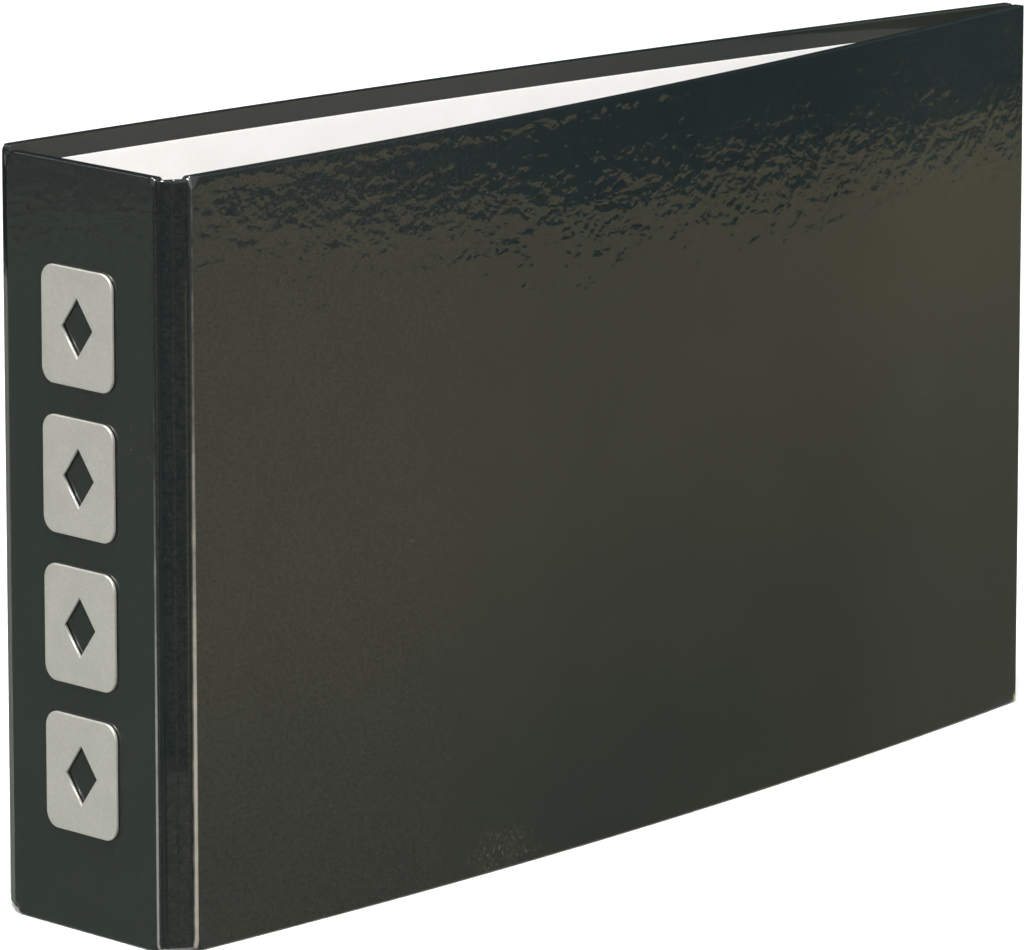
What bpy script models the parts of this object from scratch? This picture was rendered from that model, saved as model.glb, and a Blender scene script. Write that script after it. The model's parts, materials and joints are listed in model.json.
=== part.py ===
"""Two-ring binder for bank statements, standing closed on its lower edges.

Plan directions: +X runs from the spine to the fore-edge, +Y from the front cover to the back cover.
A panel is modelled flat as a length, a depth from its outer face inward, and a height, and is then
rolled round an upright axis where its cover is warped. Metres, +Z up.
"""

import math

import bmesh
import bpy
from mathutils import Matrix, Vector

# Overall size
HEIGHT = 0.140
COVER_LENGTH = 0.248
SPINE_WIDTH = 0.040

# Layers of a panel, from the outer face inward
PAPER = 0.00025
GLUE_GAP = 0.0001
BOARD = 0.0015
LINING = 0.0002
BOARD_DEPTH = PAPER + GLUE_GAP
TURN_IN_FACE = BOARD_DEPTH + BOARD + GLUE_GAP + PAPER
LINING_DEPTH = TURN_IN_FACE + GLUE_GAP
PANEL_DEPTH = LINING_DEPTH + LINING

# Turned-in margins of the wrap, and the lining's distance from the edges
TURN_IN = 0.012
LINING_MARGIN = 0.004
LIP_DEPTH = 0.001

# Folds: each strip runs between two upright axes, and every edge stays clear of its axis
STRIP_SPAN = 0.0044
FOLD_GAP = 0.0003
FOLD_DEPTH = PANEL_DEPTH / 2
STRIP_PAPER_DEPTH = PAPER + GLUE_GAP + PAPER
STRIP_DEPTH = STRIP_PAPER_DEPTH + GLUE_GAP + LINING
STRIP_LIFT = 0.0003
FRONT_STRIP_HEADING = math.radians(-30)
BACK_STRIP_HEADING = math.radians(60)

# Covers: heading where they leave the strip, and the angle they turn through towards each other
FRONT_HEADING = math.radians(1.7)
FRONT_BOW = math.radians(10.7)
BACK_HEADING = math.radians(0.5)
BACK_BOW = math.radians(7.3)
BOW_SEGMENTS = 12

# Side on which a panel's inner face lies, seen along its heading
LEFT = 1
RIGHT = -1

# Raised tiles on the spine
TILE_COUNT = 4
TILE_WIDTH = 0.019
TILE_HEIGHT = 0.0215
TILE_THICKNESS = 0.0007
TILE_PITCH = 0.0272
TILE_MIDDLE = 0.0697
TILE_CORNER = 0.003
TILE_CORNER_STEPS = 4
WINDOW_HALF_WIDTH = 0.0042
WINDOW_HALF_HEIGHT = 0.0055

# Ring mechanism. Across is measured along the back cover, lift from its lining into the binder
RING_PITCH = 0.080
RING_RADIUS = 0.014
RING_WIRE = 0.0014
RING_CENTRE_LIFT = 0.0155
RING_FOOT_ACROSS = 0.006
RING_TIP_GAP = 0.0003
RING_SEGMENTS = 18
MECHANISM_FROM_FOLD = 0.026
HOUSING_HALF_WIDTH = 0.010
HOUSING_RISE = 0.0055
HOUSING_FOOT_LIFT = 0.0001
HOUSING_LENGTH = 0.110
HOUSING_SHEET = 0.0006
HOUSING_SEGMENTS = 12
NOTCH_INNER = 0.0042
NOTCH_OUTER = 0.012
NOTCH_HALF_HEIGHT = 0.0024
BLADE_INNER = 0.00015
BLADE_OUTER = 0.0084
BLADE_LIFT = 0.0004
BLADE_THICKNESS = 0.0008
BLADE_BEVEL = 0.0001
BLADE_LENGTH = 0.092
BLADE_PIVOT_LIFT = 0.0008

# Rivets through the housing, the lining, the board and the wrap of the back cover
RIVET_PITCH = 0.101
RIVET_SHAFT = 0.0019
RIVET_HOLE = 0.0022
RIVET_CUTTER_LENGTH = 0.03
RIVET_INNER_HEAD = 0.0036
RIVET_OUTER_HEAD = 0.0050
RIVET_HEAD_RISE = 0.0011
HEAD_STEPS = 5
RIVET_SEGMENTS = 24
HOLE_SEGMENTS = 20

# Modelling tolerances
SLICE_MERGE = 1e-7
SAME_PLACE = 1e-6
CAP_MERGE = 1e-5
SHORTEST_SEGMENT = 0.002

# Moves the middle of the base of the closed binder to the world's origin
FRAME_SHIFT = Vector((-0.12521, -0.02144, 0.0))

COLLECTION_NAME = "bank_statement_binder"
CUTTER_COLLECTION_NAME = "binder_cutters"


# ---------------------------------------------------------------- scene, materials and bookkeeping

def clear_scene():
    for item in list(bpy.data.objects):
        bpy.data.objects.remove(item, do_unlink=True)


def new_collection(name):
    collection = bpy.data.collections.new(name)
    bpy.context.scene.collection.children.link(collection)
    return collection


def make_material(name, color, roughness, metallic):
    material = bpy.data.materials.new(name)
    material.use_nodes = True
    shader = material.node_tree.nodes["Principled BSDF"]
    shader.inputs["Base Color"].default_value = (*color, 1.0)
    shader.inputs["Roughness"].default_value = roughness
    shader.inputs["Metallic"].default_value = metallic
    return material


def make_materials():
    return {
        "laminate": make_material("black_laminate", (0.012, 0.013, 0.012), 0.12, 0.0),
        "lining": make_material("white_lining", (0.88, 0.87, 0.84), 0.65, 0.0),
        "board": make_material("grey_board", (0.32, 0.30, 0.26), 0.9, 0.0),
        "foil": make_material("silver_foil", (0.62, 0.62, 0.60), 0.32, 0.9),
        "nickel": make_material("nickel_plate", (0.70, 0.69, 0.66), 0.18, 1.0),
        "rivet": make_material("rivet_metal", (0.66, 0.65, 0.62), 0.28, 1.0),
    }


def make_empty(name, location, heading, parent=None):
    empty = bpy.data.objects.new(name, None)
    empty.empty_display_size = 0.01
    empty.location = location
    empty.rotation_euler.z = heading
    empty.parent = parent
    COLLECTION.objects.link(empty)
    return empty


def make_node(name, bm, material, parent):
    """Turns a bmesh that is given in its parent's coordinates into a named object."""
    mesh = bpy.data.meshes.new(name)
    bm.to_mesh(mesh)
    bm.free()
    mesh.materials.append(MATERIALS[material])
    node = bpy.data.objects.new(name, mesh)
    node.parent = parent
    COLLECTION.objects.link(node)
    return node


def make_cutter(name, bm, parent):
    mesh = bpy.data.meshes.new(name)
    bm.to_mesh(mesh)
    bm.free()
    cutter = bpy.data.objects.new(name, mesh)
    cutter.parent = parent
    cutter.hide_render = True
    cutter.display_type = "WIRE"
    CUTTERS.objects.link(cutter)
    return cutter


def cut(node, cutter):
    modifier = node.modifiers.new("cut_" + cutter.name, "BOOLEAN")
    modifier.operation = "DIFFERENCE"
    modifier.solver = "EXACT"
    modifier.object = cutter


# ---------------------------------------------------------------- flat panels and their warp

def box(low, high):
    """A cube primitive stretched between two corners."""
    bm = bmesh.new()
    bmesh.ops.create_cube(bm, size=1.0)
    low = Vector(low)
    high = Vector(high)
    size = high - low
    bmesh.ops.scale(bm, vec=size, verts=bm.verts)
    bmesh.ops.translate(bm, vec=(low + high) / 2, verts=bm.verts)
    return bm


def slice_along(bm, axis, stations):
    """Cuts every face at the given places along one axis."""
    for station in stations:
        point = Vector((0, 0, 0))
        point[axis] = station
        normal = Vector((0, 0, 0))
        normal[axis] = 1.0
        everything = bm.verts[:] + bm.edges[:] + bm.faces[:]
        bmesh.ops.bisect_plane(bm, geom=everything, plane_co=point, plane_no=normal, dist=SLICE_MERGE)


def even_stations(length, segments):
    return [length * step / segments for step in range(1, segments)]


def roll_panel(bm, length, bow, side):
    """Rolls a flat panel inward by the angle bow, and lays its depth on the given side. The depth is
    mirrored on the right side, so the faces are turned round there."""
    for vert in bm.verts:
        along, depth, height = vert.co
        if bow:
            radius = length / bow
            angle = along / radius
            vert.co = ((radius - depth) * math.sin(angle),
                       side * (radius - (radius - depth) * math.cos(angle)), height)
        else:
            vert.co = (along, side * depth, height)
    if side == RIGHT:
        bmesh.ops.reverse_faces(bm, faces=bm.faces)


def panel_sheet(low, high, length, bow, side, segments):
    """A plain layer of a panel: board or lining."""
    bm = box(low, high)
    if bow:
        slice_along(bm, 0, even_stations(length, segments))
    roll_panel(bm, length, bow, side)
    return bm


def is_opening(face, length, depth, height, lip, closed_end):
    """True for the faces of the wrap's box that are left out, so that the wrap is open there."""
    along, inward, upward = face.calc_center_median()
    if abs(along) < SAME_PLACE:
        return inward > lip
    if abs(along - length) < SAME_PLACE:
        return not closed_end and inward > lip
    if abs(inward - depth) < SAME_PLACE:
        inside_height = TURN_IN < upward < height - TURN_IN
        inside_length = not closed_end or along < length - TURN_IN
        return inside_height and inside_length
    return False


def wrap_surface(length, height, depth, lip, closed_end, segments):
    """The wrap's outer surface: a box that is open at its folds and inside its turned-in margins."""
    bm = box((0, 0, 0), (length, depth, height))
    slice_along(bm, 2, [TURN_IN, height - TURN_IN])
    if lip > 0:
        slice_along(bm, 1, [lip])
    stations = even_stations(length, segments)
    if closed_end:
        margin = length - TURN_IN
        stations = [place for place in stations if abs(place - margin) > SHORTEST_SEGMENT]
        stations.append(margin)
    slice_along(bm, 0, stations)
    openings = [face for face in bm.faces
                if is_opening(face, length, depth, height, lip, closed_end)]
    bmesh.ops.delete(bm, geom=openings, context="FACES")
    return bm


def make_wrap(name, parent, length, bow, side, depth, lip, closed_end, segments, low, high):
    """Black laminated paper: the open surface given a thickness inward."""
    bm = wrap_surface(length, high - low, depth, lip, closed_end, segments)
    bmesh.ops.translate(bm, vec=(0, 0, low), verts=bm.verts)
    roll_panel(bm, length, bow, side)
    node = make_node(name, bm, "laminate", parent)
    solidify = node.modifiers.new("paper_thickness", "SOLIDIFY")
    solidify.thickness = PAPER
    solidify.offset = -1.0
    solidify.use_even_offset = True
    solidify.use_quality_normals = True
    return node


# ---------------------------------------------------------------- the five panels

def make_panel(prefix, parent, length, bow, side, segments, closed_end):
    """Wrap, board and lining of a stiff panel whose outer face starts at the parent's origin."""
    wrap = make_wrap(prefix + "_paper", parent, length, bow, side, TURN_IN_FACE, LIP_DEPTH,
                     closed_end, segments, 0.0, HEIGHT)
    clearance = PAPER + GLUE_GAP
    board = panel_sheet((clearance, BOARD_DEPTH, clearance),
                        (length - clearance, BOARD_DEPTH + BOARD, HEIGHT - clearance),
                        length, bow, side, segments)
    board_node = make_node(prefix + "_board", board, "board", parent)
    end_margin = LINING_MARGIN if closed_end else 0.0
    lining = panel_sheet((0, LINING_DEPTH, LINING_MARGIN),
                         (length - end_margin, PANEL_DEPTH, HEIGHT - LINING_MARGIN),
                         length, bow, side, segments)
    lining_node = make_node(prefix + "_lining", lining, "lining", parent)
    return wrap, board_node, lining_node


def make_strip(prefix, axis, side):
    """The paper hinge between two folds: wrap and lining without a board. The axis empty is at
    its first fold, and the strip is centred on the line between the folds."""
    outer = -side * STRIP_DEPTH / 2
    face = make_empty(prefix + "_face", (FOLD_GAP, outer, 0), 0.0, axis)
    width = STRIP_SPAN - 2 * FOLD_GAP
    make_wrap(prefix + "_paper", face, width, 0.0, side, STRIP_PAPER_DEPTH, 0.0,
              False, 1, STRIP_LIFT, HEIGHT - STRIP_LIFT)
    lining = panel_sheet((0, STRIP_DEPTH - LINING, LINING_MARGIN),
                         (width, STRIP_DEPTH, HEIGHT - LINING_MARGIN), width, 0.0, side, 1)
    make_node(prefix + "_lining", lining, "lining", face)


def make_cover(prefix, axis, bow, side):
    """A cover whose first fold lies on the axis empty."""
    face = make_empty(prefix + "_face", (FOLD_GAP, -side * FOLD_DEPTH, 0), 0.0, axis)
    nodes = make_panel(prefix, face, COVER_LENGTH, bow, side, BOW_SEGMENTS, True)
    return face, nodes


def make_spine(root):
    """The spine's outer face is the plane X = 0, between Y = 0 and the spine's width."""
    face = make_empty("spine_face", (0, 0, 0), math.radians(90), root)
    make_panel("spine", face, SPINE_WIDTH, 0.0, RIGHT, 1, False)


def make_covers(root):
    """Chains spine, strip and cover on both sides. Every axis empty stands on its fold."""
    front_fold = make_empty("front_spine_axis", (FOLD_DEPTH, -FOLD_GAP, 0), FRONT_STRIP_HEADING, root)
    front_cover = make_empty("front_cover_axis", (STRIP_SPAN, 0, 0),
                             FRONT_HEADING - FRONT_STRIP_HEADING, front_fold)
    back_fold = make_empty("back_spine_axis", (FOLD_DEPTH, SPINE_WIDTH + FOLD_GAP, 0),
                           BACK_STRIP_HEADING, root)
    back_cover = make_empty("back_cover_axis", (STRIP_SPAN, 0, 0),
                            BACK_HEADING - BACK_STRIP_HEADING, back_fold)
    make_strip("front_hinge", front_fold, LEFT)
    make_strip("back_hinge", back_fold, RIGHT)
    make_cover("front_cover", front_cover, FRONT_BOW, LEFT)
    return make_cover("back_cover", back_cover, BACK_BOW, RIGHT)


# ---------------------------------------------------------------- raised tiles

def rounded_rectangle(width, height, radius, steps):
    """Corner arcs of a rounded rectangle about the origin, counterclockwise."""
    points = []
    for quarter in range(4):
        middle = math.radians(45 + 90 * quarter)
        centre_x = math.copysign(width / 2 - radius, math.cos(middle))
        centre_y = math.copysign(height / 2 - radius, math.sin(middle))
        for step in range(steps + 1):
            angle = math.radians(90 * quarter + 90 * step / steps)
            points.append((centre_x + radius * math.cos(angle), centre_y + radius * math.sin(angle)))
    return points


def add_outline(curve, points):
    spline = curve.splines.new("POLY")
    spline.points.add(len(points) - 1)
    for point, place in zip(spline.points, points):
        point.co = (place[0], place[1], 0.0, 1.0)
    spline.use_cyclic_u = True


def make_tile(number, root):
    """A rounded foil tile with a diamond window, flat on the spine's outer face."""
    name = "spine_tile_%d" % number
    curve = bpy.data.curves.new(name, "CURVE")
    curve.dimensions = "2D"
    curve.fill_mode = "BOTH"
    curve.extrude = TILE_THICKNESS / 2
    add_outline(curve, rounded_rectangle(TILE_WIDTH, TILE_HEIGHT, TILE_CORNER, TILE_CORNER_STEPS))
    add_outline(curve, [(WINDOW_HALF_WIDTH, 0), (0, WINDOW_HALF_HEIGHT),
                        (-WINDOW_HALF_WIDTH, 0), (0, -WINDOW_HALF_HEIGHT)])
    curve.materials.append(MATERIALS["foil"])
    tile = bpy.data.objects.new(name, curve)
    tile.rotation_euler = (math.radians(90), 0, math.radians(-90))
    height = TILE_MIDDLE + TILE_PITCH * ((TILE_COUNT + 1) / 2 - number)
    tile.location = (-GLUE_GAP - TILE_THICKNESS / 2, SPINE_WIDTH / 2, height)
    tile.parent = root
    COLLECTION.objects.link(tile)
    weld = tile.modifiers.new("weld_caps", "WELD")
    weld.merge_threshold = CAP_MERGE
    return tile


# ---------------------------------------------------------------- ring mechanism

def mechanism_frame(cover_face):
    """An empty on the back lining at mid height: X runs across the mechanism, Y into the binder
    (towards the front cover), so that Z points down."""
    radius = COVER_LENGTH / BACK_BOW
    angle = MECHANISM_FROM_FOLD / radius
    inner = radius - PANEL_DEPTH
    place = Vector((inner * math.sin(angle), -(radius - inner * math.cos(angle)), HEIGHT / 2))
    frame = make_empty("mechanism_frame", place, 0.0, cover_face)
    frame.rotation_euler = (math.radians(180), 0, -angle)
    return frame


def arch_points():
    """Cross-section of the housing's outer surface: a flat parabola over the blades."""
    points = []
    for step in range(HOUSING_SEGMENTS + 1):
        across = HOUSING_HALF_WIDTH * (2 * step / HOUSING_SEGMENTS - 1)
        rise = 1 - (across / HOUSING_HALF_WIDTH) ** 2
        points.append((across, HOUSING_FOOT_LIFT + HOUSING_SHEET + HOUSING_RISE * rise))
    return points


def arch_surface():
    """The arch swept along the mechanism, square to its ends, as an open surface."""
    bm = bmesh.new()
    verts = [bm.verts.new((across, lift, -HOUSING_LENGTH / 2)) for across, lift in arch_points()]
    edges = [bm.edges.new(pair) for pair in zip(verts, verts[1:])]
    swept = bmesh.ops.extrude_edge_only(bm, edges=edges)
    moved = [item for item in swept["geom"] if isinstance(item, bmesh.types.BMVert)]
    bmesh.ops.translate(bm, vec=(0, 0, HOUSING_LENGTH), verts=moved)
    bmesh.ops.recalc_face_normals(bm, faces=bm.faces)
    if bm.faces[:][HOUSING_SEGMENTS // 2].normal.y < 0:
        bmesh.ops.reverse_faces(bm, faces=bm.faces)
    return bm


def make_housing(frame):
    """Arched steel cover plate with open notches where the rings come out."""
    housing = make_node("ring_housing", arch_surface(), "nickel", frame)
    solidify = housing.modifiers.new("sheet", "SOLIDIFY")
    solidify.thickness = HOUSING_SHEET
    solidify.offset = -1.0
    notch_top = HOUSING_RISE + 2 * HOUSING_SHEET
    for row in (-1, 1):
        for hand in (-1, 1):
            low = (NOTCH_INNER, -HOUSING_SHEET, row * RING_PITCH / 2 - NOTCH_HALF_HEIGHT)
            high = (NOTCH_OUTER, notch_top, row * RING_PITCH / 2 + NOTCH_HALF_HEIGHT)
            bm = box(low, high)
            if hand < 0:
                bmesh.ops.rotate(bm, cent=(0, 0, row * RING_PITCH / 2),
                                 matrix=Matrix.Rotation(math.pi, 3, "Y"), verts=bm.verts)
            cut(housing, make_cutter("notch_%d_%d" % (row, hand), bm, frame))
    return housing


def make_blade(name, axis, hand):
    """A flat blade from the housing's lip to the middle line, drawn about its pivot."""
    inner = hand * (BLADE_INNER - BLADE_OUTER)
    low = (min(0.0, inner), BLADE_LIFT - BLADE_PIVOT_LIFT, -BLADE_LENGTH / 2)
    high = (max(0.0, inner), BLADE_LIFT - BLADE_PIVOT_LIFT + BLADE_THICKNESS, BLADE_LENGTH / 2)
    bm = box(low, high)
    bmesh.ops.bevel(bm, geom=bm.edges[:], offset=BLADE_BEVEL, segments=1, affect="EDGES")
    return make_node(name, bm, "nickel", axis)


def half_ring_points(hand):
    """Centre line of a half ring from its tip over the middle to its foot on the blade."""
    tip = math.pi / 2 - hand * (RING_TIP_GAP / 2) / RING_RADIUS
    foot_lift = -math.sqrt(RING_RADIUS ** 2 - RING_FOOT_ACROSS ** 2)
    foot = math.atan2(foot_lift, RING_FOOT_ACROSS)
    if hand < 0:
        foot = math.pi - foot
    points = []
    for step in range(RING_SEGMENTS + 1):
        angle = tip + (foot - tip) * step / RING_SEGMENTS
        points.append((RING_RADIUS * math.cos(angle), RING_CENTRE_LIFT + RING_RADIUS * math.sin(angle)))
    return points


def make_half_ring(name, axis, hand, row):
    """A round wire bent to half a ring. The axis empty is the blade's pivot."""
    curve = bpy.data.curves.new(name, "CURVE")
    curve.dimensions = "3D"
    curve.bevel_depth = RING_WIRE
    curve.bevel_resolution = 2
    curve.use_fill_caps = True
    points = half_ring_points(hand)
    spline = curve.splines.new("POLY")
    spline.points.add(len(points) - 1)
    for point, (across, lift) in zip(spline.points, points):
        point.co = (across - hand * BLADE_OUTER, lift - BLADE_PIVOT_LIFT, row * RING_PITCH / 2, 1.0)
    curve.materials.append(MATERIALS["nickel"])
    ring = bpy.data.objects.new(name, curve)
    ring.parent = axis
    COLLECTION.objects.link(ring)
    weld = ring.modifiers.new("weld_caps", "WELD")
    weld.merge_threshold = CAP_MERGE
    return ring


def make_ring_side(word, frame, hand):
    """One blade with its two half rings, on the empty that is their common pivot."""
    axis = make_empty("ring_axis_" + word, (hand * BLADE_OUTER, BLADE_PIVOT_LIFT, 0), 0.0, frame)
    make_blade("ring_blade_" + word, axis, hand)
    make_half_ring("half_ring_%s_upper" % word, axis, hand, -1)
    make_half_ring("half_ring_%s_lower" % word, axis, hand, 1)


def domed_head(radius, base, rise):
    """A quarter ellipse from the middle of a rivet head's dome out to its rim."""
    points = []
    for step in range(HEAD_STEPS + 1):
        angle = math.radians(90) * step / HEAD_STEPS
        points.append((radius * math.sin(angle), base + rise * math.cos(angle)))
    return points


def rivet_profile():
    """Outer side of a rivet as radius and lift, from the middle of the inner head down to the
    middle of the outer head. The lift is measured from the lining."""
    crown = HOUSING_FOOT_LIFT + HOUSING_SHEET + HOUSING_RISE + GLUE_GAP
    skin = -PANEL_DEPTH - GLUE_GAP
    inner_head = domed_head(RIVET_INNER_HEAD, crown, RIVET_HEAD_RISE)
    outer_head = domed_head(RIVET_OUTER_HEAD, skin, -RIVET_HEAD_RISE)
    return inner_head + [(RIVET_SHAFT, crown), (RIVET_SHAFT, skin)] + outer_head[::-1]


def make_rivet(name, frame, row):
    """A turned rivet. Its profile is drawn about Z and then laid along the mechanism's lift."""
    mesh = bpy.data.meshes.new(name)
    profile = rivet_profile()
    bm = bmesh.new()
    verts = [bm.verts.new((radius, 0, lift)) for radius, lift in profile]
    for pair in zip(verts, verts[1:]):
        bm.edges.new(pair)
    bm.to_mesh(mesh)
    bm.free()
    mesh.materials.append(MATERIALS["rivet"])
    rivet = bpy.data.objects.new(name, mesh)
    rivet.parent = frame
    rivet.rotation_euler.x = math.radians(-90)
    rivet.location.z = row * RIVET_PITCH / 2
    COLLECTION.objects.link(rivet)
    screw = rivet.modifiers.new("turn", "SCREW")
    screw.steps = RIVET_SEGMENTS
    screw.render_steps = RIVET_SEGMENTS
    screw.use_merge_vertices = True
    screw.merge_threshold = CAP_MERGE
    return rivet


def cut_rivet_holes(frame, row, nodes):
    """One round hole through the housing and every layer of the back cover."""
    bm = bmesh.new()
    bmesh.ops.create_cone(bm, cap_ends=True, segments=HOLE_SEGMENTS, radius1=RIVET_HOLE,
                          radius2=RIVET_HOLE, depth=RIVET_CUTTER_LENGTH)
    bmesh.ops.rotate(bm, cent=(0, 0, 0), matrix=Matrix.Rotation(math.pi / 2, 3, "X"), verts=bm.verts)
    bmesh.ops.translate(bm, vec=(0, 0, row * RIVET_PITCH / 2), verts=bm.verts)
    cutter = make_cutter("rivet_hole_%d" % row, bm, frame)
    for node in nodes:
        cut(node, cutter)


def make_mechanism(cover_face, cover_nodes):
    frame = mechanism_frame(cover_face)
    housing = make_housing(frame)
    make_ring_side("left", frame, -1)
    make_ring_side("right", frame, 1)
    make_rivet("rivet_upper", frame, -1)
    make_rivet("rivet_lower", frame, 1)
    for row in (-1, 1):
        cut_rivet_holes(frame, row, (housing, *cover_nodes))


# ---------------------------------------------------------------- the whole binder

clear_scene()
COLLECTION = new_collection(COLLECTION_NAME)
CUTTERS = new_collection(CUTTER_COLLECTION_NAME)
MATERIALS = make_materials()

binder_root = make_empty("binder_root", FRAME_SHIFT, 0.0)
make_spine(binder_root)
back_face, back_nodes = make_covers(binder_root)
for tile_number in range(1, TILE_COUNT + 1):
    make_tile(tile_number, binder_root)
make_mechanism(back_face, back_nodes)
bpy.context.view_layer.update()
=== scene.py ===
import json
import math

import bmesh
import bpy
import numpy as np
from mathutils import Matrix, Vector


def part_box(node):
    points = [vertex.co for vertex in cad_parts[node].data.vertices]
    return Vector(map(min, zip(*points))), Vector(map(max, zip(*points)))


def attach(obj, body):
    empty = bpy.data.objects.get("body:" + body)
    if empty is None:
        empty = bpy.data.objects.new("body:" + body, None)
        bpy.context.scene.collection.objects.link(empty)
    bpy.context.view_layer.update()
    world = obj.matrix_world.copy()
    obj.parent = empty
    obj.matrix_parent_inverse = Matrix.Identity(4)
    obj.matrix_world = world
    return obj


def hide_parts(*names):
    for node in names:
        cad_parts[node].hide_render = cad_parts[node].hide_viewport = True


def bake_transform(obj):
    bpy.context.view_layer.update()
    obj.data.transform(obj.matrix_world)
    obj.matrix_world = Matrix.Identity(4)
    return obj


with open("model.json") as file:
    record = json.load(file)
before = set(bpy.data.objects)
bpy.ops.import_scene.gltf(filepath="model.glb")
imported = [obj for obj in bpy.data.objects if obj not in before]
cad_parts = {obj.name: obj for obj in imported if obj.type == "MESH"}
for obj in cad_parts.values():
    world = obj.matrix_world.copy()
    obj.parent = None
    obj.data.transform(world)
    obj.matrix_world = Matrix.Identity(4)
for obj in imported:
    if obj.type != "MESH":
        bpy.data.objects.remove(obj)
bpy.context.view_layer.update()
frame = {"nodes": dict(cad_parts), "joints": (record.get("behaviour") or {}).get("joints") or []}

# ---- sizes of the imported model, in metres

LEFT = 1
RIGHT = -1
HEIGHT = 0.140
COVER_LENGTH = 0.248
SPINE_WIDTH = 0.040
PANEL_DEPTH = 0.0025
FOLD_GAP = 0.0003
FOLD_DEPTH = PANEL_DEPTH / 2
FRONT_BOW = math.radians(10.7)
BACK_BOW = math.radians(7.3)
FRONT_HEADING = math.radians(1.7)
BACK_HEADING = math.radians(0.5)
FRONT_STRIP_HEADING = math.radians(-30)
BACK_STRIP_HEADING = math.radians(60)

# Case: the wrapped board, and the white lining on it
CASE_DEPTH = 0.00222
CASE_EDGE = 0.0002
TURN_IN = 0.012
TURN_IN_STEP = 0.00022
TURN_IN_BLUR = 0.0004
BOARD_WAVE = 0.00005
LINING_MARGIN = 0.0038
LINING_LIFT = 0.00002
LINING_OVERLAP = 0.0001
LINING_COCKLE = 0.00002
LINING = 0.00008

# A low ridge of the wrap below the front cover's top rim: distances from the rim, and from the hinge
RIDGE_START = 0.0003
RIDGE_CREST = 0.0008
RIDGE_END = 0.0038
RIDGE_RUN_OUT = (0.11, 0.19)
FRONT_RIDGE = 0.000042

# Places on the front cover that are worn: along, up, and half sizes or reach
SCUFF_PLACE = (0.080, 0.002)
SCUFF_SIZE = (0.012, 0.008)
WORN_CORNER = (0.0006, 0.0022)

# Distances from the hinge over which a cover's marks rise or fade
LIT_MARGIN_FADE = (0.10, 0.20)
FORE_RISE = (0.180, 0.215)
NEAR_FADE = (0.03, 0.12)
HAZE_RISE = (0.09, 0.20)

# Greatest distances between the places of a lattice
PANEL_STEP = 0.0035
DEPTH_STEP = 0.001
HINGE_STEP = 0.003
HOUSING_STEP = 0.0012

# Hinge skins
SKIN_OUTER = -0.00045
SKIN_INNER = 0.0001
HINGE_LINING_OUTER = 0.00013
HINGE_LINING_INNER = 0.00036
HINGE_WAVE = 0.00003
SKIN_MARGIN = 0.0004
SKIN_ROUND = 0.0007
HINGE_LINING_ROUND = 0.0002
SKIN_TUCK = 0.0013
SKIN_FILLET = 0.0007
# Painted shade: the hinge strip is darkened to this tone towards the spine crease, away from the seam
CREASE_SHADE_TONE = 0.35
SEAM_RISE = (-0.0024, -0.0012)
NUB_RISE = 0.00045
NUB_FROM_SEAM = 0.0015
NUB_SIZE = 0.0009

# Foil tiles
TILE_CORNER = 0.003
TILE_BEVEL = 0.00022
WINDOW_HALF_WIDTH = 0.0042
WINDOW_HALF_HEIGHT = 0.0055

# Ring mechanism
RING_PITCH = 0.080
RING_RADIUS = 0.014
RING_WIRE = 0.0014
RING_CENTRE_LIFT = 0.0155
RING_FOOT_ACROSS = 0.006
RING_JOIN_GAP = 0.00015
RING_CHAMFER = 0.00035
HOUSING_HALF_WIDTH = 0.010
HOUSING_RISE = 0.0055
HOUSING_FOOT = 0.0007
HOUSING_LENGTH = 0.110
HOUSING_SHEET = 0.0006
NOTCH_INNER = 0.0042
NOTCH_HALF_HEIGHT = 0.0024
BEAD_DEPTH = 0.00045
BEAD_HALF_WIDTH = 0.0016
RIB_DEPTH = 0.00028
RIB_OFFSET = 0.0058
RIB_HALF_WIDTH = 0.0011
BLADE_PIVOT_LIFT = 0.0008
RIVET_PITCH = 0.101
RIVET_SHANK = 0.0019
RIVET_HEAD = 0.0036
RIVET_TAIL = 0.0050
RIVET_DOME = 0.0009
RIVET_RIM = 0.0002
RIVET_CLEAR = 0.0001

joints = {joint["name"]: joint for joint in frame["joints"]}


def joint_place(name):
    return Vector(joints[name]["pos_m"])


# ---- meshes from lattices

# Offsets, as parts of the radius, that a cube's edge needs to become an even quarter circle
ARC = tuple(1 - math.tan(math.radians(angle)) for angle in (45, 36, 27, 18, 9, 0))


def fill(fixed, spacing):
    """The given places, and even steps no longer than the spacing in the gaps between them."""
    places = [fixed[0]]
    for start, end in zip(fixed, fixed[1:]):
        steps = max(1, math.ceil((end - start) / spacing))
        places += [start + (end - start) * step / steps for step in range(1, steps + 1)]
    return places


def stations(length, low, high, spacing):
    """Places along a side: offsets from both ends, with the gaps filled."""
    from_low = [round(place, 7) for place in low]
    from_high = [round(length - place, 7) for place in high]
    return fill(sorted(set(from_low + from_high)), spacing)


def lattice_box(along, depth, height):
    """Points and outward quads of a closed box that is divided at the given places."""
    places = (along, depth, height)
    counts = [len(values) - 1 for values in places]
    index = {}
    points = []
    faces = []

    def corner(key):
        if key not in index:
            index[key] = len(points)
            points.append([places[axis][key[axis]] for axis in range(3)])
        return index[key]

    for axis in range(3):
        u, v = (axis + 1) % 3, (axis + 2) % 3
        for end in (0, counts[axis]):
            for a in range(counts[u]):
                for b in range(counts[v]):
                    quad = []
                    for step_u, step_v in ((0, 0), (1, 0), (1, 1), (0, 1)):
                        key = [0, 0, 0]
                        key[axis], key[u], key[v] = end, a + step_u, b + step_v
                        quad.append(corner(tuple(key)))
                    faces.append(quad if end else quad[::-1])
    return np.array(points), faces


def round_box(points, size, radius):
    """Rounds every edge of the lattice box with the same radius."""
    core = np.clip(points, radius, np.array(size) - radius)
    away = points - core
    reach = np.linalg.norm(away, axis=1)
    result = points.copy()
    outside = reach > 0
    result[outside] = core[outside] + away[outside] / reach[outside, None] * radius
    return result


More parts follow.
